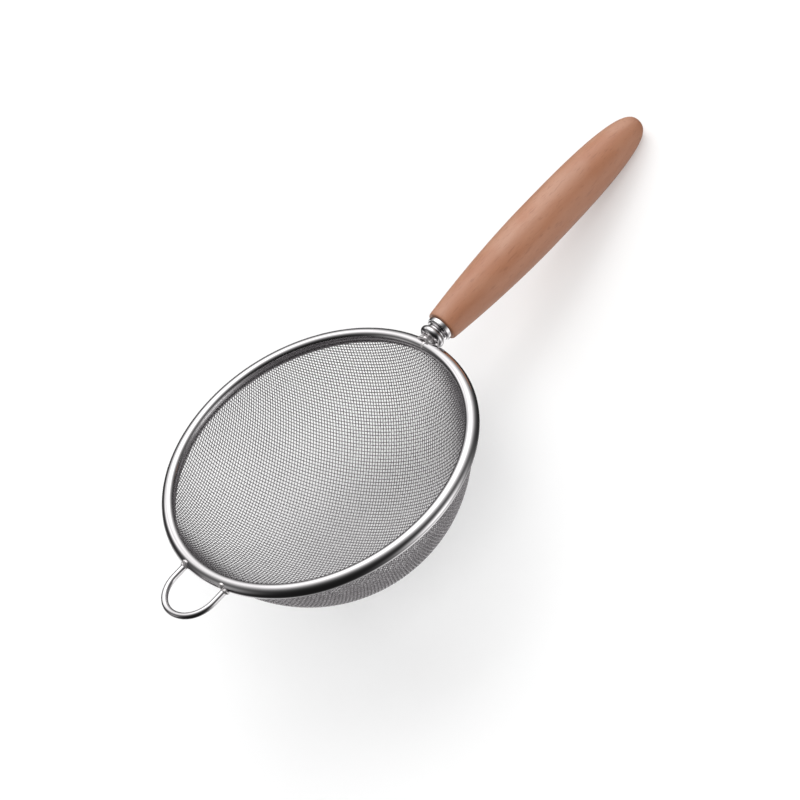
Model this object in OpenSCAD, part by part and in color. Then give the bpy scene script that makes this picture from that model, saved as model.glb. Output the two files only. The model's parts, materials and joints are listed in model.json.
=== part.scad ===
// Tea strainer: a round wire-cloth bowl in a rolled steel rim, with a welded
// hanging loop, a turned steel neck and a turned beech handle.
// Each piece is drawn with the centre of the rim tube's ring at the origin, the
// bowl hanging down and the handle along +X. lay_down() then lays the strainer as
// it rests on a table: on the underside of its bowl and the belly of its handle.

/* [Overall] */
// Outer diameter of the rim
rim_d = 100; // [94:1:106]
// Length from the end of the hanging loop to the tip of the handle
overall_length = 213; // [200:1:226]

/* [Bowl] */
// Depth of the bowl below the middle of the rim tube
bowl_depth = 41; // [36:1:44]
// Thickness of the woven wire cloth, two wires deep
cloth_t = 0.5; // [0.4:0.05:0.6]

/* [Rim] */
// Diameter of the rolled rim tube
rim_tube_d = 4.1; // [3.7:0.1:4.4]
// Thickness of the rim's sheet steel
rim_sheet_t = 0.3; // [0.25:0.05:0.35]
// Diameter of the wire ring rolled into the rim
core_wire_d = 2.2; // [1.6:0.1:2.2]
// How far the rim's outer lip reaches below the middle of the tube
outer_lip_reach = 2.6; // [2.2:0.1:3.2]
// How far the sheet's inner edge reaches below the middle of the tube
inner_lip_reach = 0.7; // [0.6:0.1:1.4]

/* [Hanging loop] */
// Diameter of the loop's wire
loop_wire_d = 2; // [1.6:0.1:2.4]
// Outer width of the loop
loop_width = 20.4; // [18:0.2:24]
// How far the loop stands out from the rim
loop_reach = 13.8; // [13:0.2:18]

/* [Neck] */
// Diameter of the rod that joins the rim to the handle
rod_d = 4; // [3.5:0.1:4.5]
// Height of the handle's axis above the middle of the rim tube
axis_lift = 0.6; // [0:0.1:1]
// Diameter of the rounded bead next to the rim
bead_d = 8.2; // [7.6:0.1:9]
// Length of the bead along the handle
bead_l = 2.7; // [2.4:0.1:3]
// Diameter of the waist behind the bead
waist_d = 6.2; // [5.6:0.1:6.6]
// Diameter of the collar at the end of the wood
collar_d = 8.3; // [7.8:0.1:9.2]
// Length of the collar along the handle
collar_l = 2.1; // [1.8:0.1:2.6]

/* [Handle] */
// Largest diameter of the handle
handle_d = 15.6; // [14:0.2:18]
// Diameter of the handle where it meets the collar
handle_end_d = 10.2; // [9.6:0.2:12]
// Distance from the collar to the widest place of the handle
handle_widest = 44; // [38:1:50]
// Depth of the blind hole for the rod
bore_depth = 32; // [24:1:40]

/* [Hidden] */
// Fineness of round shapes: in general, of small round sections, of the bowl's sphere,
// and of the cuts that shape other pieces to the rim tube
$fn = 96;
section_fn = 48;
sphere_fn = 180;
fine_ring_fn = 480;
fine_section_fn = 120;

// Clearances: between the cloth and the lips that hold it, around the rod, and
// between the neck's weld and the bead
cloth_gap = 0.05;
rod_gap = 0.05;
weld_gap = 0.05;
// How far a cutting shape runs past the piece it cuts
overcut = 1;

// Rim: where its lips leave the tube, and the seam that stands proud of it
tube_r = rim_tube_d / 2;
ring_r = rim_d / 2 - tube_r;
inner_lip_top = 0.4;
outer_lip_top = 1;
seam_proud = 0.22;
seam_w = 1.5;

// Bowl: part of a sphere that meets the rim's plane inside the tube's centre line
mouth_inset = 0.85;
mouth_r = ring_r - mouth_inset;
ball_r = (mouth_r * mouth_r + bowl_depth * bowl_depth) / (2 * bowl_depth);
ball_z = ball_r - bowl_depth;
cloth_top = 0;
core_ring_r = mouth_r + cloth_gap * 2 + core_wire_d / 2;

// Loop
loop_drop = 0.7;
loop_bend_r = loop_width / 2 - loop_wire_d / 2;
loop_bend_x = -(rim_d / 2 + loop_reach - loop_width / 2);
loop_foot_inset = 1;
loop_foot_x = loop_foot_inset - ring_r;
loop_weld_r = 1.5;
loop_weld_sunk = 0.3;

// Neck: the places of the pieces along the handle's axis
bead_off_rim = 0.2;
bead_x = rim_d / 2 + bead_off_rim;
waist_l = 0.9;
collar_x = bead_x + bead_l + waist_l;
collar_step_in = 0.45;
collar_step_d = collar_d - 2 * collar_step_in;
collar_step_l = 0.5;
collar_chamfer = 0.2;
rod_in_rim = 0.9;
rod_x = rim_d / 2 - rod_in_rim;
rod_end_gap = 1.5;
weld_off_ring = 0.35;
weld_x = ring_r + weld_off_ring;
weld_d = 5.2;
weld_end_d = 6.2;
grip_count = 6;
grip_pitch = 2.4;
grip_depth = 0.35;
grip_w = 1;

// Handle
handle_x = collar_x + collar_l;
handle_l = overall_length - loop_reach - rim_d / 2 - handle_x;
handle_edge = 0.4;
neck_steps = 16;
tip_steps = 28;
neck_power = 1.8;
tip_power_l = 2.85;
tip_power_r = 2.95;

// Outline of the handle, from the collar to the tip: [distance from the collar, radius]
handle_neck_side = [
    for (i = [0 : neck_steps - 1])
        let (u = handle_edge + (handle_widest - handle_edge) * i / neck_steps)
        [u, handle_d / 2 - (handle_d - handle_end_d) / 2
            * pow((handle_widest - u) / handle_widest, neck_power)]
];
handle_tip_side = [
    for (i = [0 : tip_steps])
        let (a = 90 * i / tip_steps)
        [handle_widest + (handle_l - handle_widest) * pow(sin(a), 2 / tip_power_l),
            handle_d / 2 * pow(cos(a), 2 / tip_power_r)]
];
handle_outline = concat(
    [[0, 0], [0, handle_end_d / 2 - handle_edge]],
    handle_neck_side,
    handle_tip_side
);

// Slope at which the strainer lies on a table: the angle at which the bowl and the
// handle reach equally far down. Each reach is measured from the rim's centre.
function bowl_reach(a) = ball_r - ball_z * cos(a);
function handle_reach(a) =
    max([for (p = handle_outline) (handle_x + p[0]) * sin(a) + p[1] * cos(a)])
    - axis_lift * cos(a);
function rest_slope(low, high, steps) =
    let (mid = (low + high) / 2)
    steps == 0 ? mid
    : handle_reach(mid) > bowl_reach(mid) ? rest_slope(low, mid, steps - 1)
    : rest_slope(mid, high, steps - 1);
table_slope = rest_slope(0, 45, 24);

// ---------------------------------------------------------------- placing

// Lays a piece down on the table, with the bowl's lowest point at the origin
module lay_down() {
    translate([0, 0, ball_r])
        rotate([0, table_slope, 0])
            translate([0, 0, -ball_z])
                children();
}

// Turns a piece drawn along +Z to lie on the handle's axis, starting at x
module on_axis(x) {
    translate([x, 0, axis_lift])
        rotate([0, 90, 0])
            children();
}

// ---------------------------------------------------------------- shared shapes

// Band of a spherical shell between two heights, as a half section
module shell_section(r_in, r_out, low, high) {
    intersection() {
        difference() {
            translate([0, ball_z]) circle(r_out, $fn = sphere_fn);
            translate([0, ball_z]) circle(r_in, $fn = sphere_fn);
        }
        translate([0, low]) square([r_out + overcut, high - low]);
    }
}

// Solid ring with a round section
module round_ring(ring, r) {
    rotate_extrude() translate([ring, 0]) circle(r, $fn = section_fn);
}

// Space that the rim tube takes up, cut finely for the pieces that are shaped to it
module rim_space() {
    rotate_extrude($fn = fine_ring_fn)
        translate([ring_r, 0]) circle(tube_r, $fn = fine_section_fn);
}

// ---------------------------------------------------------------- bowl and rim

// Woven wire cloth, drawn as a closed shell as thick as the cloth
module mesh_bowl() {
    color("lightgray")
        lay_down()
            rotate_extrude()
                shell_section(ball_r - cloth_t, ball_r, -bowl_depth - overcut, cloth_top);
}

// Sheet steel rolled into a tube, whose inner edge and outer lip grip the cloth
module rim_band() {
    inner_r = ball_r - cloth_t - cloth_gap;
    outer_r = ball_r + cloth_gap;
    color("silver")
        lay_down()
            rotate_extrude()
                difference() {
                    union() {
                        translate([ring_r, 0]) circle(tube_r, $fn = section_fn);
                        shell_section(inner_r - rim_sheet_t, inner_r, -inner_lip_reach, -inner_lip_top);
                        shell_section(outer_r, outer_r + rim_sheet_t, -outer_lip_reach, -outer_lip_top);
                    }
                    translate([ring_r, 0]) circle(tube_r - rim_sheet_t, $fn = section_fn);
                    shell_section(inner_r, outer_r, -rim_tube_d, cloth_top + cloth_gap);
                    shell_section(inner_r - rim_tube_d, inner_r, -rim_tube_d, -inner_lip_reach);
                }
}

// Wire ring that the rim is rolled around
module rim_core_wire() {
    color("dimgray")
        lay_down()
            round_ring(core_ring_r, core_wire_d / 2);
}

// Raised seam where the two ends of the rim's strip are welded together
module rim_seam() {
    seam_angle = seam_w / ring_r * 180 / PI;
    color("gainsboro")
        lay_down()
            rotate_extrude(angle = seam_angle, start = -seam_angle / 2)
                intersection() {
                    translate([ring_r, 0])
                        difference() {
                            circle(tube_r + seam_proud, $fn = section_fn);
                            circle(tube_r, $fn = section_fn);
                        }
                    translate([ring_r - rim_tube_d, 0])
                        square([weld_x - ring_r + rim_tube_d, rim_tube_d]);
                }
}

// ---------------------------------------------------------------- hanging loop

// One straight leg of the loop, from the bend to inside the rim tube
module loop_leg(side) {
    translate([loop_bend_x, side * loop_bend_r, -loop_drop])
        rotate([0, 90, 0])
            cylinder(r = loop_wire_d / 2, h = loop_foot_x - loop_bend_x);
}

// Wire bent into a U, its two feet shaped to the rim
module hanging_loop() {
    color("silver")
        lay_down()
            difference() {
                union() {
                    translate([loop_bend_x, 0, -loop_drop])
                        rotate_extrude(angle = 180, start = 90)
                            translate([loop_bend_r, 0]) circle(loop_wire_d / 2);
                    for (side = [-1, 1]) loop_leg(side);
                }
                rim_space();
            }
}

// Weld of one foot: a lump round the wire, shaped to the rim
module loop_weld(side) {
    foot = atan2(side * loop_bend_r, -ring_r);
    difference() {
        rotate([0, 0, foot])
            translate([rim_d / 2 - loop_weld_sunk, 0, 0])
                sphere(loop_weld_r);
        rim_space();
        loop_leg(side);
    }
}

// The two welds that hold the hanging loop
module loop_welds() {
    color("gainsboro")
        lay_down()
            for (side = [-1, 1]) loop_weld(side);
}

// ---------------------------------------------------------------- neck

// Hole for the rod, from the near face of a piece to a depth inside it
module rod_bore(depth) {
    translate([0, 0, -overcut]) cylinder(d = rod_d + 2 * rod_gap, h = depth + overcut);
}

// Rod that carries the handle: shaped to the rim at one end, grooved for grip in the wood
module neck_rod() {
    rod_l = handle_x + bore_depth - rod_end_gap - rod_x;
    first_groove = handle_x + bore_depth - rod_end_gap - grip_count * grip_pitch;
    color("gray")
        lay_down()
            difference() {
                on_axis(rod_x) cylinder(d = rod_d, h = rod_l);
                rim_space();
                for (i = [0 : grip_count - 1])
                    on_axis(first_groove + i * grip_pitch) grip_groove();
            }
}

// Ring cut out of the rod by one grip groove
module grip_groove() {
    difference() {
        cylinder(d = rod_d + overcut, h = grip_w);
        translate([0, 0, -overcut]) cylinder(d = rod_d - 2 * grip_depth, h = grip_w + 2 * overcut);
    }
}

// Weld between the rod and the rim, a flared ring round the rod
module neck_weld() {
    color("gainsboro")
        lay_down()
            difference() {
                on_axis(weld_x) cylinder(d1 = weld_d, d2 = weld_end_d, h = bead_x - weld_x - weld_gap);
                rim_space();
                on_axis(weld_x - overcut) cylinder(d = rod_d, h = bead_x - weld_x + 2 * overcut);
            }
}

// Turned bead with a waist behind it, bored for the rod
module neck_bead() {
    edge_r = bead_l / 2;
    color("silver")
        lay_down()
            on_axis(bead_x)
                difference() {
                    union() {
                        translate([0, 0, edge_r])
                            rotate_extrude() {
                                translate([bead_d / 2 - edge_r, 0]) circle(edge_r, $fn = section_fn);
                                translate([0, -edge_r]) square([bead_d / 2 - edge_r, bead_l]);
                            }
                        cylinder(d = waist_d, h = bead_l + waist_l);
                    }
                    rod_bore(bead_l + waist_l + overcut);
                }
}

// Stepped collar that caps the end of the wood, bored for the rod
module end_collar() {
    color("silver")
        lay_down()
            on_axis(collar_x)
                difference() {
                    union() {
                        cylinder(d = collar_step_d, h = collar_l);
                        translate([0, 0, collar_step_l])
                            cylinder(d1 = collar_d - 2 * collar_chamfer, d2 = collar_d, h = collar_chamfer);
                        translate([0, 0, collar_step_l + collar_chamfer])
                            cylinder(d = collar_d, h = collar_l - collar_step_l - collar_chamfer);
                    }
                    rod_bore(collar_l + overcut);
                }
}

// ---------------------------------------------------------------- handle

// Turned beech handle with a blind hole for the rod
module handle() {
    color("burlywood")
        lay_down()
            on_axis(handle_x)
                difference() {
                    rotate_extrude()
                        polygon([for (p = handle_outline) [p[1], p[0]]]);
                    rod_bore(bore_depth);
                }
}

mesh_bowl();
rim_band();
rim_core_wire();
rim_seam();
hanging_loop();
loop_welds();
neck_rod();
neck_weld();
neck_bead();
end_collar();
handle();
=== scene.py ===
"""Looks of the tea strainer: woven wire bowl, rolled rim, hanging loop, beaded neck and beech handle."""
import json
import math

import bmesh
import bpy
import numpy as np
from mathutils import Matrix, Vector


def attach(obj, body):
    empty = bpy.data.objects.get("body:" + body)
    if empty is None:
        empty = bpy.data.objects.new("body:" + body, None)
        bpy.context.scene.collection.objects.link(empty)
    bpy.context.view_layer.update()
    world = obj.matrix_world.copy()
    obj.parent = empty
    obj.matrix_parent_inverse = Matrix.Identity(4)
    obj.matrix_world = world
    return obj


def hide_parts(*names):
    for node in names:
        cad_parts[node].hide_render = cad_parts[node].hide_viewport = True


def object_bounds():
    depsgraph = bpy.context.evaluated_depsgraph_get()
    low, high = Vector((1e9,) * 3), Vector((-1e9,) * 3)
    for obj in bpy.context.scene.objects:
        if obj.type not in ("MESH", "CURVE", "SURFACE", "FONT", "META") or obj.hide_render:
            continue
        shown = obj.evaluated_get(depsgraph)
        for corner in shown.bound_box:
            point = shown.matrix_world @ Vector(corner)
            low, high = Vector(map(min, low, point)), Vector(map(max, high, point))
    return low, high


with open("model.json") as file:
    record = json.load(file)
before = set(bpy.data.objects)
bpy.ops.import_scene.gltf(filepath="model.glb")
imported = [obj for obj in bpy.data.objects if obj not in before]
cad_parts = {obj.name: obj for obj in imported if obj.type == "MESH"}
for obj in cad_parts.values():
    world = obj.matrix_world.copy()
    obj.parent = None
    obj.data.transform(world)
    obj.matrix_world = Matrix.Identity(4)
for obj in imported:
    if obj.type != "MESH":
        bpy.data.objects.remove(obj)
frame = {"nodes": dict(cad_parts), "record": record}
cad_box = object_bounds()

MM = 0.001

# Sizes of the design, as in the CAD model. The loop and the handle end 0.01 to 0.02 mm short of
# the CAD's, and the lip begins lower, where the drawn tube stays open inside.
TUBE_R = 2.05 * MM
RING_R = 47.95 * MM
SHEET_T = 0.3 * MM
BALL_R = 47.554 * MM
BALL_UP = 6.554 * MM
CLOTH_T = 0.5 * MM
CLOTH_GAP = 0.05 * MM
LIP_TOP = 1.95 * MM
OUTER_LIP = 2.6 * MM

LOOP_WIRE_R = 1.0 * MM
LOOP_BEND_R = 9.2 * MM
LOOP_BEND_X = -53.59 * MM
LOOP_DROP = 0.7 * MM

AXIS_LIFT = 0.6 * MM
BORE_R = 2.05 * MM
BEAD_X = 50.2 * MM
BEAD_L = 2.7 * MM
BEAD_R = 4.1 * MM
WAIST_R = 3.1 * MM
WAIST_L = 0.9 * MM
COLLAR_X = 53.8 * MM
COLLAR_L = 2.1 * MM
COLLAR_R = 4.15 * MM
COLLAR_STEP_R = 3.7 * MM
COLLAR_STEP_L = 0.5 * MM

HANDLE_X = 55.9 * MM
HANDLE_L = 93.28 * MM
HANDLE_R = 7.8 * MM
HANDLE_END_R = 5.1 * MM
HANDLE_WIDEST = 44 * MM
HANDLE_EDGE = 0.4 * MM
HANDLE_NECK_POWER = 1.8
HANDLE_TIP_POWER_L = 2.85
HANDLE_TIP_POWER_R = 2.95
BORE_DEPTH = 32 * MM

# Rim: how far its crest leans to the bowl, how uneven it is, and the turns round its tube, in
# degrees, where the sheet has its inner edge and where it goes down into the lip
RIM_LEAN = 0.15
RIM_UNEVEN = 0.02 * MM
SHEET_EDGE_TURN = 200
LIP_TURN = -108

# Seam: place round the rim, the turns round the tube that it covers, half width and height
SEAM_PLACE = math.radians(-0.8)
SEAM_TURNS = (-14, 152)
SEAM_HALF_W = 0.75 * MM
SEAM_RISE = 0.2 * MM

# Lumps of weld metal: half sizes outwards, along the rim and round its tube
FOOT_LUMP = (0.8 * MM, 1.45 * MM, 1.3 * MM)
FOOT_LUMP_TURN = -20
UPPER_LUMP = (0.6 * MM, 1.1 * MM, 0.95 * MM)
UPPER_LUMP_TURN = 30
UPPER_LUMP_SHIFT = math.radians(1.1)
NECK_LUMP = (0.75 * MM, 1.15 * MM, 1.0 * MM)
# Each lump at the neck: place round the rim and turn round its tube in degrees, and relative size
NECK_LUMP_PLACES = ((1.3, 34, 0.95), (-1.7, 26, 0.8), (3.4, 12, 0.7), (-4.2, 6, 0.65))

# Weld round the neck's rod
NECK_WELD_START = RING_R + 0.35 * MM
NECK_WELD_R = 3.0 * MM
NECK_WELD_HOLLOW = 0.85 * MM
NECK_WELD_RIPPLE = 0.1 * MM

# Weave of the cloth: spacing of the wires, their radius, and the way the warp runs
WARP_STEP = 1.04 * MM
WEFT_STEP = 0.92 * MM
WIRE_R = 0.125 * MM
WIRE_SIDES = 6
WARP_ANGLE = math.radians(27)
NET_REACH = 78
CLOTH_TOP = 0.6 * MM


# ---------------------------------------------------------------- frames

def mount(name):
    """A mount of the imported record, by name."""
    return next(m for m in frame["record"]["mounts"] if m["name"] == name)


def rim_matrix():
    """Rim's own frame: origin in the middle of the tube's ring, +X to the handle, +Z out of the bowl."""
    seat = mount("rim_seat")
    up = -Vector(seat["axis"]).normalized()
    side = Vector((0, 1, 0))
    along = side.cross(up)
    turn = Matrix((along, side, up)).transposed().to_4x4()
    return Matrix.Translation(Vector(seat["pos_m"]) + up * TUBE_R) @ turn


RIM = rim_matrix()
HANDLE_AXIS = RIM @ Matrix.Translation((0, 0, AXIS_LIFT)) @ Matrix.Rotation(math.radians(90), 4, "Y")


def moved(points, matrix):
    """An array of points, (n, 3), taken through a 4 x 4 matrix."""
    turn = np.array(matrix.to_3x3())
    return points @ turn.T + np.array(matrix.translation)


# ---------------------------------------------------------------- mesh helpers

def turn_outwards(mesh):
    """Joins points that lie in the same place, and turns the faces of each closed form outwards."""
    same_place = 0.0001 * MM
    work = bmesh.new()
    work.from_mesh(mesh)
    bmesh.ops.remove_doubles(work, verts=work.verts, dist=same_place)
    bmesh.ops.recalc_face_normals(work, faces=work.faces)
    work.to_mesh(mesh)
    work.free()


def add_piece(name, points, faces, material, slot, *replaced):
    """A smooth mesh object that rides on the root body and stands for the replaced CAD nodes."""
    mesh = bpy.data.meshes.new(name)
    mesh.from_pydata(points, [], faces, shade_flat=False)
    mesh.validate()
    turn_outwards(mesh)
    mesh.materials.append(material)
    piece = bpy.data.objects.new(name, mesh)
    bpy.context.scene.collection.objects.link(piece)
    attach(piece, "root")
    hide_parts(*replaced)


def grid_faces(rows, columns, close_rows, close_columns):
    """Quads of a grid of points numbered row by row, closed on itself as asked."""
    last_row = rows if close_rows else rows - 1
    last_column = columns if close_columns else columns - 1
    r, c = np.meshgrid(np.arange(last_row), np.arange(last_column), indexing="ij")
    r, c = r.ravel(), c.ravel()
    next_r, next_c = (r + 1) % rows, (c + 1) % columns
    corners = ((r, c), (r, next_c), (next_r, next_c), (next_r, c))
    return np.column_stack([row * columns + column for row, column in corners])


def revolve(outline, segments, close_outline, matrix, shrink=None):
    """Turns an outline of (radius, height) points about +Z.

    shrink(angle), where it is given, pulls the radius in along the way."""
    outline = np.array(outline)
    angle = np.linspace(0, 2 * math.pi, segments, endpoint=False)
    radius = np.tile(outline[:, 0], (segments, 1))
    if shrink is not None:
        radius = radius - shrink(angle)[:, None]
    height = np.tile(outline[:, 1], (segments, 1))
    points = np.stack([radius * np.cos(angle)[:, None], radius * np.sin(angle)[:, None], height], axis=2)
    faces = grid_faces(segments, len(outline), True, close_outline)
    return moved(points.reshape(-1, 3), matrix), faces


def arc(centre, radius, start, end, steps):
    """Points (x, y) along an arc, angles in degrees."""
    angles = np.radians(np.linspace(start, end, steps + 1))
    return [(centre[0] + radius * math.cos(a), centre[1] + radius * math.sin(a)) for a in angles]


def end_caps(rows, sides):
    """Quads that close the two ends of a tube of that many rings, with an even number of sides."""
    first = [[0, k, k + 1, k + 2] for k in range(1, sides - 2, 2)]
    last = [[(rows - 1) * sides + k for k in reversed(quad)] for quad in first]
    return first + last


def tube_along(path, normals, radius, sides):
    """Closed tube round a path, with a ring at each of its points."""
    tangents = np.gradient(path, axis=0)
    tangents /= np.linalg.norm(tangents, axis=1)[:, None]
    across = np.cross(tangents, normals)
    across /= np.linalg.norm(across, axis=1)[:, None]
    upward = np.cross(across, tangents)
    turn = np.linspace(0, 2 * math.pi, sides, endpoint=False)
    ring = np.cos(turn)[None, :, None] * upward[:, None, :] + np.sin(turn)[None, :, None] * across[:, None, :]
    radius = np.broadcast_to(radius, (len(path),))[:, None, None]
    points = (path[:, None, :] + radius * ring).reshape(-1, 3)
    faces = grid_faces(len(path), sides, False, True)
    return points, np.vstack([faces, end_caps(len(path), sides)])


def join_parts(parts):
    """One array of points and one of faces out of several."""
    points, faces, count = [], [], 0
    for part_points, part_faces in parts:
        points.append(part_points)
        faces.append(part_faces + count)
        count += len(part_points)
    return np.vstack(points), np.vstack(faces)


# ---------------------------------------------------------------- woven cloth

def net_on_ball():
    """Crossings of the weave on the bowl's ball, as unit vectors from its centre.

    The wires keep their spacing and turn against each other as flat cloth does when it is pressed
    into a ball: each crossing lies one warp step and one weft step from two earlier ones."""
    radius = BALL_R - CLOTH_T / 2
    along_i = 2 * math.asin(WEFT_STEP / 2 / radius)
    along_j = 2 * math.asin(WARP_STEP / 2 / radius)
    n = NET_REACH
    net = np.full((2 * n + 1, 2 * n + 1, 3), np.nan)
    steps = np.arange(-n, n + 1)
    way_j = np.array([math.cos(WARP_ANGLE), math.sin(WARP_ANGLE), 0])
    way_i = np.array([-math.sin(WARP_ANGLE), math.cos(WARP_ANGLE), 0])
    down = np.array([0, 0, -1.0])
    for axis, way, step in ((0, way_i, along_i), (1, way_j, along_j)):
        line = np.cos(steps * step)[:, None] * down + np.sin(steps * step)[:, None] * way
        if axis == 0:
            net[:, n] = line
        else:
            net[n, :] = line
    for side_i in (-1, 1):
        for side_j in (-1, 1):
            fill_quarter(net, side_i, side_j, math.cos(along_i), math.cos(along_j))
    return net


def fill_quarter(net, side_i, side_j, cos_i, cos_j):
    """Fills one quarter of the net, a diagonal at a time, outwards from its two middle wires."""
    n = NET_REACH
    for total in range(2, 2 * n + 1):
        i = np.arange(max(1, total - n), min(n, total - 1) + 1)
        j = total - i
        here_i, here_j = n + side_i * i, n + side_j * j
        back_i, back_j = here_i - side_i, here_j - side_j
        from_i = net[back_i, here_j]
        from_j = net[here_i, back_j]
        behind = net[back_i, back_j]
        c = np.sum(from_i * from_j, axis=1)
        det = 1 - c * c
        with np.errstate(invalid="ignore", divide="ignore"):
            u = (cos_i - c * cos_j) / det
            v = (cos_j - c * cos_i) / det
            flat = u[:, None] * from_i + v[:, None] * from_j
            normal = np.cross(from_i, from_j)
            rise = np.sqrt(1 - np.sum(flat * flat, axis=1)) / np.sqrt(det)
            one = flat + rise[:, None] * normal
            two = flat - rise[:, None] * normal
            nearer = np.sum(one * behind, axis=1) > np.sum(two * behind, axis=1)
        net[here_i, here_j] = np.where(nearer[:, None], two, one)


def wire_span(line):
    """First and last crossing of a wire that lie below the cloth's edge, or None."""
    middle = NET_REACH
    limit = (CLOTH_TOP - BALL_UP) / (BALL_R - CLOTH_T / 2)
    inside = line[:, 2] < limit
    if not np.any(inside[middle - 3:middle + 4]):
        return None
    start = middle
    while start > 0 and inside[start - 1]:
        start -= 1
    end = middle
    while end < len(line) - 1 and inside[end + 1]:
        end += 1
    return (start, end) if end - start > 1 else None


def woven_wire(line, number, first):
    """One wire of the cloth: it passes over and under the crossing wires in turn."""
    radius = BALL_R - CLOTH_T / 2
    count = len(line)
    over = np.where((np.arange(count) + first + number) % 2 == 0, 1.0, -1.0)
    middles = line[:-1] + line[1:]
    middles /= np.linalg.norm(middles, axis=1)[:, None]
    normals = np.empty((2 * count - 1, 3))
    normals[0::2] = line
    normals[1::2] = middles
    height = np.zeros(2 * count - 1)
    height[0::2] = over * WIRE_R
    path = normals * (radius + height)[:, None] + np.array([0, 0, BALL_UP])
    return tube_along(moved(path, RIM), normals @ np.array(RIM.to_3x3()).T, WIRE_R, WIRE_SIDES)


def make_cloth(material):
    """The bowl's cloth, as two halves of warp wires and two of weft wires."""
    net = net_on_ball()
    for name, lines, flip in (("cloth_warp", net, 0), ("cloth_weft", net.transpose(1, 0, 2), 1)):
        halves = {"near": [], "far": []}
        for number in range(2 * NET_REACH + 1):
            span = wire_span(lines[number])
            if span is None:
                continue
            wire = woven_wire(lines[number, span[0]:span[1] + 1], number + flip, span[0])
            halves["near" if number < NET_REACH else "far"].append(wire)
        for half, wires in halves.items():
            points, faces = join_parts(wires)
            add_piece(f"{name}_{half}", points, faces, material, "wire_cloth", "mesh_bowl")


# ---------------------------------------------------------------- rim

def ball_out(radius, height):
    """Distance from the bowl's axis on a sphere round the bowl's centre, at a height."""
    return math.sqrt(radius * radius - (BALL_UP - height) ** 2)


def rim_section(turns, radius):
    """Points (out, up) of the rolled tube's section, whose crest leans a little towards the bowl."""
    squeeze = 1 / math.sqrt(1 + RIM_LEAN ** 2)
    out = RING_R + radius * squeeze * (np.cos(turns) - RIM_LEAN * np.sin(turns))
    return np.stack([out, radius * np.sin(turns)], axis=-1)


def rim_outline():
    """Closed outline of the rolled sheet: round the tube's outside, down the lip and back inside."""
    lip_face = BALL_R + CLOTH_GAP
    lip = [
        (ball_out(lip_face + SHEET_T, -LIP_TOP), -LIP_TOP),
        (ball_out(lip_face + SHEET_T, -OUTER_LIP), -OUTER_LIP),
        (ball_out(lip_face, -OUTER_LIP), -OUTER_LIP),
        (ball_out(lip_face, SHEET_T - LIP_TOP), SHEET_T - LIP_TOP),
    ]
    outside = rim_section(np.radians(np.linspace(SHEET_EDGE_TURN, LIP_TURN, 73)), TUBE_R)
    inside = rim_section(np.radians(np.linspace(LIP_TURN - 12, SHEET_EDGE_TURN + 3, 49)), TUBE_R - SHEET_T)
    return [*outside, *lip, *inside]


def rim_waver(angle):
    """Slight unevenness of the rolled rim."""
    return RIM_UNEVEN * (1 + 0.6 * np.sin(3 * angle + 0.7) + 0.4 * np.sin(7 * angle + 2.1))


def make_rim(material):
    """The rolled rim."""
    points, faces = revolve(rim_outline(), 480, True, RIM, rim_waver)
    add_piece("rolled_rim", points, faces, material, "polished_steel", "rim_band")


def ridge(around, start, end, half_width, rise):
    """Weld metal laid across the rim: follows its section from one turn to another, in degrees.

    half_width and rise are functions of the way along, from 0 to 1."""
    steps, sides = 56, 20
    way = np.linspace(0, 1, steps)
    turns = np.radians(start + (end - start) * way)
    middle = rim_section(turns, TUBE_R)
    middle = np.column_stack([middle[:, 0], np.zeros(steps), middle[:, 1]])
    out = np.column_stack([np.cos(turns), np.zeros(steps), np.sin(turns)])
    closing = np.sqrt(np.clip(np.sin(way * math.pi), 0.004, 1))[:, None]
    round_it = np.linspace(0, 2 * math.pi, sides, endpoint=False)
    across = np.cos(round_it)[None, :] * half_width(way)[:, None] * closing
    lift = np.sin(round_it)[None, :] * rise(way)[:, None] * closing
    points = middle[:, None, :] + lift[..., None] * out[:, None, :]
    points[..., 1] += across
    faces = np.vstack([grid_faces(steps, sides, False, True), end_caps(steps, sides)])
    return moved(points.reshape(-1, 3), Matrix.Rotation(around, 4, "Z")), faces


def make_seam(material):
    """Raised seam across the rim, next to the neck."""
    points, faces = ridge(
        SEAM_PLACE, *SEAM_TURNS,
        lambda way: SEAM_HALF_W * (1 + 0.14 * np.sin(way * 17)),
        lambda way: SEAM_RISE * (1 + 0.25 * np.sin(way * 11 + 1)),
    )
    add_piece("seam_ridge", moved(points, RIM), faces, material, "weld_steel", "rim_seam")


# ---------------------------------------------------------------- hanging loop

def loop_path():
    """Middle line of the loop's wire, from one foot round the bend to the other."""
    foot_x = -math.sqrt((RING_R + 1.2 * MM) ** 2 - LOOP_BEND_R ** 2)
    legs = np.linspace(foot_x, LOOP_BEND_X, 12)[:-1]
    bend = np.linspace(math.pi / 2, 3 * math.pi / 2, 49)
    first = np.stack([legs, np.full_like(legs, LOOP_BEND_R)], axis=1)
    middle = np.stack([LOOP_BEND_X + LOOP_BEND_R * np.cos(bend), LOOP_BEND_R * np.sin(bend)], axis=1)
    last = first[::-1] * np.array([1, -1])
    flat = np.vstack([first, middle, last])
    return np.column_stack([flat, np.full(len(flat), -LOOP_DROP)])


def make_loop(material):
    """Round wire bent into the hanging loop."""
    path = loop_path()
    up = np.tile(np.array([0, 0, 1.0]), (len(path), 1))
    points, faces = tube_along(path, up, LOOP_WIRE_R, 24)
    add_piece("loop_wire", moved(points, RIM), faces, material, "polished_steel", "hanging_loop")


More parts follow.
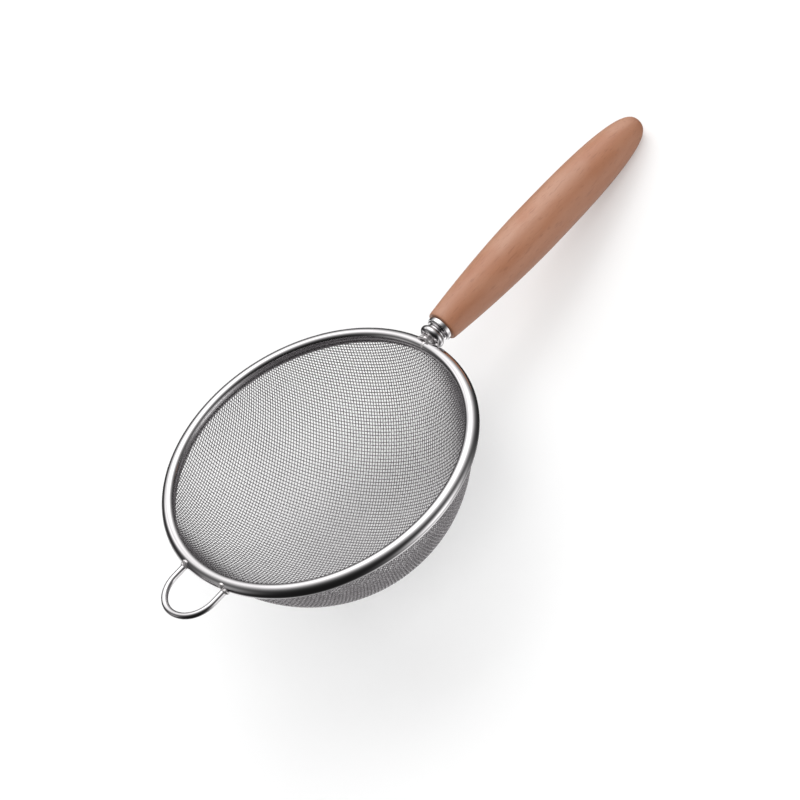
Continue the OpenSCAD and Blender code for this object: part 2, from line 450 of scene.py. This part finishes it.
def lump(matrix, sizes, phase):
    """An uneven ball of weld metal: its half sizes, and a phase that makes each one different."""
    rows, columns = 21, 32
    pole_gap = 0.04
    lat = np.linspace(-math.pi / 2 + pole_gap, math.pi / 2 - pole_gap, rows)
    lon = np.linspace(0, 2 * math.pi, columns, endpoint=False)
    la, lo = np.meshgrid(lat, lon, indexing="ij")
    ripple = 0.06 * np.sin(3 * lo + phase) + 0.05 * np.sin(4 * la + 2 * lo + 2 * phase)
    ball = np.stack([np.cos(la) * np.cos(lo), np.cos(la) * np.sin(lo), np.sin(la)], axis=2)
    ball *= (1 + ripple * np.cos(la))[..., None]
    points = ball.reshape(-1, 3) * np.array(sizes)
    poles = np.array([[0, 0, -sizes[2]], [0, 0, sizes[2]]])
    points = np.vstack([points, poles])
    faces = grid_faces(rows, columns, False, True)
    south, north = rows * columns, rows * columns + 1
    top = (rows - 1) * columns
    caps = []
    for k in range(0, columns, 2):
        a, b, c = k, (k + 1) % columns, (k + 2) % columns
        caps.append([south, c, b, a])
        caps.append([north, top + a, top + b, top + c])
    faces = np.vstack([faces, caps])
    return moved(points, matrix), faces


def rim_lump(around, turn, sizes, phase):
    """A lump of weld metal sunk into the rim: angle round the ring, turn round the tube in degrees."""
    turn = math.radians(turn)
    out, up = rim_section(np.array(turn), TUBE_R)
    frame_there = Matrix.Rotation(around, 4, "Z") @ Matrix.Translation((out, 0, up))
    return lump(frame_there @ Matrix.Rotation(-turn, 4, "Y"), sizes, phase)


def make_loop_welds(material):
    """Two welds, each a lump round the wire's foot and a smaller one above it."""
    parts = []
    for side in (-1, 1):
        foot = math.atan2(side * LOOP_BEND_R, -RING_R)
        parts.append(rim_lump(foot, FOOT_LUMP_TURN, FOOT_LUMP, 1.0 + side))
        parts.append(rim_lump(foot + side * UPPER_LUMP_SHIFT, UPPER_LUMP_TURN, UPPER_LUMP, 2.5 + side))
    points, faces = join_parts(parts)
    add_piece("loop_weld_beads", moved(points, RIM), faces, material, "weld_steel", "loop_welds")


# ---------------------------------------------------------------- neck

def make_neck_weld(material):
    """Uneven fillet of weld metal round the rod, and lumps of it on the rim."""
    outline = [(BORE_R, NECK_WELD_START), (NECK_WELD_R, NECK_WELD_START)]
    outline += arc((NECK_WELD_R, BEAD_X), NECK_WELD_HOLLOW, 242, 180, 8)
    outline += [(BORE_R, BEAD_X)]
    fillet = revolve(outline, 160, True, RIM.inverted() @ HANDLE_AXIS, neck_weld_waver)
    parts = [fillet]
    for around, turn, size in NECK_LUMP_PLACES:
        sizes = np.array(NECK_LUMP) * size
        parts.append(rim_lump(math.radians(around), turn, sizes, around))
    points, faces = join_parts(parts)
    add_piece("neck_weld_bead", moved(points, RIM), faces, material, "weld_steel", "neck_weld")


def neck_weld_waver(angle):
    """Ripples of the neck's weld."""
    ripple = np.sin(5 * angle + 0.4) + 0.6 * np.sin(8 * angle + 2.0) + 0.3 * np.sin(13 * angle)
    return NECK_WELD_RIPPLE * ripple


def make_bead(material):
    """Turned bead with a waist behind it."""
    edge = BEAD_L / 2
    fillet = 0.3 * MM
    bead_end = BEAD_X + BEAD_L
    waist_end = bead_end + WAIST_L
    outline = [(BORE_R, BEAD_X)]
    outline += arc((BEAD_R - edge, BEAD_X + edge), edge, -90, 68, 28)
    outline += [(WAIST_R + 0.25 * MM, bead_end - 0.12 * MM)]
    outline += arc((WAIST_R + fillet, bead_end + 0.18 * MM), fillet, 240, 180, 4)
    outline += [(WAIST_R, waist_end), (BORE_R, waist_end)]
    points, faces = revolve(outline, 128, True, HANDLE_AXIS)
    add_piece("turned_bead", points, faces, material, "polished_steel", "neck_bead")


def make_collar(material):
    """Stepped collar at the end of the wood."""
    fillet = 0.22 * MM
    chamfer = 0.12 * MM
    step_x = COLLAR_X + COLLAR_STEP_L
    end_x = COLLAR_X + COLLAR_L
    outline = [(BORE_R, COLLAR_X), (COLLAR_STEP_R - chamfer, COLLAR_X)]
    outline += [(COLLAR_STEP_R, COLLAR_X + chamfer)]
    outline += [(COLLAR_STEP_R, step_x)]
    outline += arc((COLLAR_R - fillet, step_x + fillet), fillet, -90, 0, 6)
    outline += arc((COLLAR_R - fillet, end_x - fillet), fillet, 0, 90, 6)
    outline += [(BORE_R, end_x)]
    points, faces = revolve(outline, 128, True, HANDLE_AXIS)
    add_piece("turned_collar", points, faces, material, "polished_steel", "end_collar")


# ---------------------------------------------------------------- handle

def handle_outline():
    """Outline of the handle and its blind bore, as (radius, place along the axis)."""
    outline = [(0, HANDLE_X + BORE_DEPTH), (BORE_R, HANDLE_X + BORE_DEPTH), (BORE_R, HANDLE_X)]
    outline += [(HANDLE_END_R - HANDLE_EDGE, HANDLE_X)]
    outline += arc((HANDLE_END_R - HANDLE_EDGE, HANDLE_X + HANDLE_EDGE), HANDLE_EDGE, -72, -18, 3)
    neck_steps, tip_steps = 40, 72
    for k in range(neck_steps):
        u = HANDLE_EDGE + (HANDLE_WIDEST - HANDLE_EDGE) * k / neck_steps
        fall = ((HANDLE_WIDEST - u) / HANDLE_WIDEST) ** HANDLE_NECK_POWER
        outline.append((HANDLE_R - (HANDLE_R - HANDLE_END_R) * fall, HANDLE_X + u))
    for k in range(tip_steps + 1):
        a = math.radians(90 * k / tip_steps)
        u = HANDLE_WIDEST + (HANDLE_L - HANDLE_WIDEST) * math.sin(a) ** (2 / HANDLE_TIP_POWER_L)
        radius = HANDLE_R * max(math.cos(a), 0) ** (2 / HANDLE_TIP_POWER_R)
        outline.append((radius, HANDLE_X + u))
    return outline


def make_handle(material):
    """Turned beech handle."""
    points, faces = revolve(handle_outline(), 128, False, HANDLE_AXIS)
    add_piece("beech_handle", points, faces, material, "beech", "handle")


# ---------------------------------------------------------------- materials

# Brightness of the backdrop and of the floor by itself, and how far away the floor begins and
# ends to pass into the backdrop
BACKDROP = 1.0
FLOOR_GLOW = 0.30
FADE_NEAR = 0.35
FADE_FAR = 1.5


class Shader:
    """A material's node tree with a short way to add and link nodes."""

    def __init__(self, name):
        self.material = bpy.data.materials.new(name)
        self.material.use_nodes = True
        self.tree = self.material.node_tree
        self.surface = self.tree.nodes["Principled BSDF"]

    def add(self, kind, **settings):
        node = self.tree.nodes.new(kind)
        for key, value in settings.items():
            setattr(node, key, value)
        return node

    def link(self, source, target):
        self.tree.links.new(source, target)

    def place(self, scale=(1, 1, 1), turn=(0, 0, 0), shift=(0, 0, 0)):
        """Object coordinates, turned, shifted and then stretched."""
        where = self.add("ShaderNodeTexCoord").outputs["Object"]
        turned = self.add("ShaderNodeMapping")
        turned.inputs["Rotation"].default_value = turn
        turned.inputs["Location"].default_value = shift
        stretched = self.add("ShaderNodeMapping")
        stretched.inputs["Scale"].default_value = scale
        self.link(where, turned.inputs["Vector"])
        self.link(turned.outputs["Vector"], stretched.inputs["Vector"])
        return stretched.outputs["Vector"]

    def noise(self, vector, scale, detail=3.0, roughness=0.5):
        node = self.add("ShaderNodeTexNoise")
        node.inputs["Scale"].default_value = scale
        node.inputs["Detail"].default_value = detail
        node.inputs["Roughness"].default_value = roughness
        self.link(vector, node.inputs["Vector"])
        return node.outputs["Fac"]

    def ramp(self, value, stops):
        """Colour ramp with stops of (place, (r, g, b))."""
        node = self.add("ShaderNodeValToRGB")
        ramp = node.color_ramp
        while len(ramp.elements) < len(stops):
            ramp.elements.new(1.0)
        for element, (place, colour) in zip(ramp.elements, stops):
            element.position = place
            element.color = (*colour, 1)
        self.link(value, node.inputs["Fac"])
        return node.outputs["Color"]

    def spread(self, value, low, high, to_low, to_high):
        """Value taken smoothly from one range to another."""
        node = self.add("ShaderNodeMapRange", interpolation_type="SMOOTHSTEP")
        for key, number in (("From Min", low), ("From Max", high), ("To Min", to_low), ("To Max", to_high)):
            node.inputs[key].default_value = number
        self.link(value, node.inputs["Value"])
        return node.outputs["Result"]

    def part(self, vector, axis):
        """One coordinate of a vector."""
        node = self.add("ShaderNodeSeparateXYZ")
        self.link(vector, node.inputs["Vector"])
        return node.outputs[axis]

    def length(self, vector):
        node = self.add("ShaderNodeVectorMath", operation="LENGTH")
        self.link(vector, node.inputs[0])
        return node.outputs["Value"]

    def total(self, first, second):
        node = self.add("ShaderNodeMath", operation="ADD")
        self.link(first, node.inputs[0])
        self.link(second, node.inputs[1])
        return node.outputs["Value"]

    def mix(self, factor, first, second):
        """Blend of two colours."""
        node = self.add("ShaderNodeMix", data_type="RGBA")
        self.link(factor, node.inputs["Factor"])
        self.link(first, node.inputs["A"])
        self.link(second, node.inputs["B"])
        return node.outputs["Result"]

    def bump(self, height, strength, distance):
        node = self.add("ShaderNodeBump")
        node.inputs["Strength"].default_value = strength
        node.inputs["Distance"].default_value = distance
        self.link(height, node.inputs["Height"])
        self.link(node.outputs["Normal"], self.surface.inputs["Normal"])


def polish(shader, metallic, rough_low, rough_high, scratch_strength):
    """Uneven polish and fine scratches of a steel surface."""
    shader.surface.inputs["Metallic"].default_value = metallic
    dull = shader.noise(shader.place(), 700, 3.0)
    shader.link(shader.spread(dull, 0.3, 0.7, rough_low, rough_high), shader.surface.inputs["Roughness"])
    scratches = shader.noise(shader.place(scale=(1, 1, 6)), 2600, 2.0, 0.6)
    shader.bump(scratches, scratch_strength, 0.02 * MM)


def steel(name, dark, light, rough_low, rough_high, scratch_strength, metallic=1.0):
    """Stainless steel of slightly uneven tone."""
    shader = Shader(name)
    tone = shader.noise(shader.place(), 90, 4.0)
    shader.link(shader.ramp(tone, [(0.3, dark), (0.7, light)]), shader.surface.inputs["Base Color"])
    polish(shader, metallic, rough_low, rough_high, scratch_strength)
    return shader.material


def wire_steel():
    """Satin wire whose half that faces out of the bowl has a lighter base colour than its inner half: painted
    light on the bowl's outside wall.
    """
    shader = Shader("wire_steel")
    tone = shader.noise(shader.place(), 90, 4.0)
    inside = shader.ramp(tone, [(0.3, (0.286, 0.271, 0.283)), (0.7, (0.347, 0.329, 0.344))])
    # Painted light: a lighter base colour for the half of each wire that faces out of the bowl
    outside = shader.ramp(tone, [(0.3, (0.49, 0.47, 0.48)), (0.7, (0.60, 0.575, 0.59))])
    ball_centre = RIM @ Vector((0, 0, BALL_UP))
    from_centre = shader.length(shader.place(shift=-ball_centre))
    middle = BALL_R - CLOTH_T / 2
    painted_light_outward = shader.spread(from_centre, middle - WIRE_R, middle + WIRE_R, 0.0, 1.0)
    shader.link(shader.mix(painted_light_outward, inside, outside), shader.surface.inputs["Base Color"])
    polish(shader, 0.72, 0.20, 0.30, 0.1)
    return shader.material


def beech():
    """Turned beech: soft growth bands, a lighter pink ground on one side as painted light and a darker orange
    one on the other as painted shade, with short flecks and fine pores.
    """
    slope = math.asin(RIM.to_3x3().col[2][0])
    turn = (0, -slope, 0)
    shader = Shader("beech_wood")
    bands = shader.noise(shader.place((5, 70, 38), turn), 3.0, 2.5, 0.5)
    # Painted light and shade: a darker orange ground for the -Y side of the handle and a lighter pink one for
    # its +Y side
    painted_shade_orange = shader.ramp(bands, [
        (0.28, (0.355, 0.139, 0.069)), (0.5, (0.404, 0.169, 0.088)), (0.72, (0.447, 0.199, 0.110)),
    ])
    painted_light_pink = shader.ramp(bands, [
        (0.28, (0.420, 0.197, 0.122)), (0.5, (0.457, 0.231, 0.146)), (0.72, (0.504, 0.270, 0.178)),
    ])
    clouds = shader.noise(shader.place((1, 2.2, 2.2), turn), 55, 2.0)
    drift = shader.spread(clouds, 0.35, 0.65, -4 * MM, 4 * MM)
    # The painted light and shade change over from the -Y side to the +Y side, with a cloudy edge
    side = shader.total(shader.part(shader.place(), "Y"), drift)
    ground = shader.mix(shader.spread(side, -6 * MM, 6 * MM, 0.0, 1.0), painted_shade_orange, painted_light_pink)
    flecks = shader.noise(shader.place((1, 6, 6), turn), 300, 1.5, 0.5)
    dark = shader.ramp(clouds, [(0.3, (0.27, 0.106, 0.055)), (0.7, (0.325, 0.135, 0.073))])
    flecked = shader.mix(shader.spread(flecks, 0.57, 0.74, 0.0, 0.5), ground, dark)
    pores = shader.noise(shader.place((1, 12, 12), turn), 800, 2.0, 0.6)
    final = shader.mix(shader.spread(pores, 0.5, 0.78, 0.0, 0.28), flecked, dark)
    shader.link(final, shader.surface.inputs["Base Color"])
    shader.link(shader.spread(pores, 0.3, 0.7, 0.40, 0.54), shader.surface.inputs["Roughness"])
    shader.surface.inputs["Specular IOR Level"].default_value = 0.75
    shader.bump(pores, 0.25, 0.05 * MM)
    return shader.material


def floor_material():
    """Plain pale studio floor that runs out into the backdrop without a horizon."""
    shader = Shader("pale_floor")
    tone = shader.noise(shader.place(), 3, 2.0)
    near = shader.ramp(tone, [(0.3, (0.65, 0.65, 0.65)), (0.7, (0.67, 0.67, 0.67))])
    black = shader.ramp(tone, [(0.3, (0, 0, 0)), (0.7, (0, 0, 0))])
    away = shader.spread(shader.length(shader.place()), FADE_NEAR, FADE_FAR, 0.0, 1.0)
    shader.link(shader.mix(away, near, black), shader.surface.inputs["Base Color"])
    shader.link(shader.spread(away, 0, 0.6, FLOOR_GLOW, BACKDROP), shader.surface.inputs["Emission Strength"])
    shader.surface.inputs["Emission Color"].default_value = (1, 1, 1, 1)
    shader.surface.inputs["Roughness"].default_value = 0.9
    shader.surface.inputs["Specular IOR Level"].default_value = 0.0
    return shader.material


# ---------------------------------------------------------------- stage

CAMERA_AZIMUTH = math.radians(-9.81)
CAMERA_ELEVATION = math.radians(47.93)
CAMERA_ROLL = math.radians(49.37)
CAMERA_DISTANCE = 0.7463
CAMERA_AIM = (-4.8 * MM, -12.0 * MM)
CAMERA_LENS = 112.5


def make_camera():
    """Camera at the viewing angle, rolled so that the handle points up to the right."""
    low, high = Vector(cad_box[0]), Vector(cad_box[1])
    back = Vector((
        math.sin(CAMERA_AZIMUTH) * math.cos(CAMERA_ELEVATION),
        -math.cos(CAMERA_AZIMUTH) * math.cos(CAMERA_ELEVATION),
        math.sin(CAMERA_ELEVATION),
    ))
    level = Vector((math.cos(CAMERA_AZIMUTH), math.sin(CAMERA_AZIMUTH), 0))
    upright = back.cross(level)
    right = level * math.cos(CAMERA_ROLL) - upright * math.sin(CAMERA_ROLL)
    up = back.cross(right)
    aim = (low + high) / 2 + right * CAMERA_AIM[0] + up * CAMERA_AIM[1]
    data = bpy.data.cameras.new("camera")
    data.sensor_width = 36
    data.lens = CAMERA_LENS
    data.clip_start = 0.01
    camera = bpy.data.objects.new("camera", data)
    bpy.context.scene.collection.objects.link(camera)
    turn = Matrix((right, up, back)).transposed().to_4x4()
    camera.matrix_world = Matrix.Translation(aim + back * CAMERA_DISTANCE) @ turn
    bpy.context.scene.camera = camera


def make_floor():
    """Wide floor just under the strainer, which the steel doesn't mirror."""
    half = 4.0
    gap = 0.05 * MM
    mesh = bpy.data.meshes.new("floor")
    corners = [(-half, -half, 0), (half, -half, 0), (half, half, 0), (-half, half, 0)]
    mesh.from_pydata(corners, [], [(0, 1, 2, 3)])
    mesh.materials.append(floor_material())
    floor = bpy.data.objects.new("floor", mesh)
    bpy.context.scene.collection.objects.link(floor)
    floor.location.z = -gap
    floor.visible_glossy = False


def heading(azimuth, elevation):
    """Unit vector from an azimuth round +Z, counted from +X, and an elevation, in degrees."""
    a, e = math.radians(azimuth), math.radians(elevation)
    return Vector((math.cos(a) * math.cos(e), math.sin(a) * math.cos(e), math.sin(e)))


def glow(tree, where, direction, level, focus):
    """Brightness of a soft round patch of the surroundings: level x e^(focus x (cosine - 1))."""
    facing = tree.nodes.new("ShaderNodeVectorMath")
    facing.operation = "DOT_PRODUCT"
    facing.inputs[1].default_value = direction
    tree.links.new(where, facing.inputs[0])
    fall = tree.nodes.new("ShaderNodeMath")
    fall.operation = "MULTIPLY_ADD"
    fall.inputs[1].default_value = focus
    fall.inputs[2].default_value = math.log(level) - focus
    tree.links.new(facing.outputs["Value"], fall.inputs[0])
    patch = tree.nodes.new("ShaderNodeMath")
    patch.operation = "EXPONENT"
    tree.links.new(fall.outputs["Value"], patch.inputs[0])
    return patch.outputs["Value"]


def added(tree, first, second):
    """Sum of two brightnesses."""
    total = tree.nodes.new("ShaderNodeMath")
    total.operation = "ADD"
    tree.links.new(first, total.inputs[0])
    tree.links.new(second, total.inputs[1])
    return total.outputs["Value"]


# Soft patches of light round the studio: direction, level and how closely each is gathered. The
# last one is so spread out that it is a faint even light from all round.
GLOWS = (
    (heading(23, 50), 2.4, 5.6),
    (heading(86, 33), 1.05, 50.0),
    (heading(129, -38), 1.5, 17.7),
    (heading(288, -25), 1.5, 12.2),
    (heading(262, -80), 1.3, 14.0),
    (heading(147, 25), 0.38, 24.0),
    (heading(0, 90), 0.012, 0.01),
)


def make_world():
    """Surroundings that light the strainer and that its steel mirrors: the patches in GLOWS.

    The camera itself sees a plain pale backdrop."""
    world = bpy.data.worlds.new("studio")
    bpy.context.scene.world = world
    world.use_nodes = True
    tree = world.node_tree
    nodes, links = tree.nodes, tree.links
    where = nodes.new("ShaderNodeTexCoord").outputs["Generated"]
    total = glow(tree, where, *GLOWS[0])
    for patch in GLOWS[1:]:
        total = added(tree, total, glow(tree, where, *patch))
    mirrored = nodes["Background"]
    links.new(total, mirrored.inputs["Strength"])
    mirrored.inputs["Color"].default_value = (1, 1, 1, 1)
    plain = nodes.new("ShaderNodeBackground")
    plain.inputs["Color"].default_value = (BACKDROP, BACKDROP, BACKDROP, 1)
    choice = nodes.new("ShaderNodeMixShader")
    links.new(nodes.new("ShaderNodeLightPath").outputs["Is Camera Ray"], choice.inputs["Fac"])
    links.new(mirrored.outputs["Background"], choice.inputs[1])
    links.new(plain.outputs["Background"], choice.inputs[2])
    links.new(choice.outputs["Shader"], nodes["World Output"].inputs["Surface"])


def make_lamp(name, direction, distance, size, power):
    """Square softbox that points at the middle of the strainer and isn't mirrored by the steel."""
    middle = (Vector(cad_box[0]) + Vector(cad_box[1])) / 2
    data = bpy.data.lights.new(name, "AREA")
    data.shape = "SQUARE"
    data.size = size
    data.energy = power
    lamp = bpy.data.objects.new(name, data)
    bpy.context.scene.collection.objects.link(lamp)
    towards = direction.normalized()
    lamp.location = middle + towards * distance
    lamp.rotation_euler = towards.to_track_quat("Z", "Y").to_euler()
    lamp.visible_glossy = False


def make_stage():
    """Camera, floor and lights."""
    make_camera()
    make_floor()
    make_world()
    make_lamp("key", heading(70, 48), 2.4, 2.2, 23)
    make_lamp("fill", heading(250, 52), 2.7, 2.6, 42)
    bpy.context.scene.view_settings.view_transform = "Standard"


# ---------------------------------------------------------------- assembly

def finish_cad_nodes(drawn):
    """The CAD pieces that stay, with their steel finish."""
    for name in ("rim_core_wire", "neck_rod"):
        node = frame["nodes"][name]
        node.data.materials.clear()
        node.data.materials.append(drawn)


def main():
    """Builds every piece, the materials and the stage."""
    polished = steel("polished_steel", (0.70, 0.68, 0.69), (0.80, 0.78, 0.79), 0.04, 0.10, 0.05)
    drawn = steel("drawn_steel", (0.45, 0.45, 0.45), (0.58, 0.57, 0.57), 0.25, 0.4, 0.2)
    weld = steel("weld_steel", (0.82, 0.79, 0.79), (0.92, 0.89, 0.89), 0.26, 0.40, 0.5, 0.85)
    make_stage()
    make_cloth(wire_steel())
    make_rim(polished)
    make_seam(weld)
    make_loop(polished)
    make_loop_welds(weld)
    make_neck_weld(weld)
    make_bead(polished)
    make_collar(polished)
    make_handle(beech())
    finish_cad_nodes(drawn)


main()
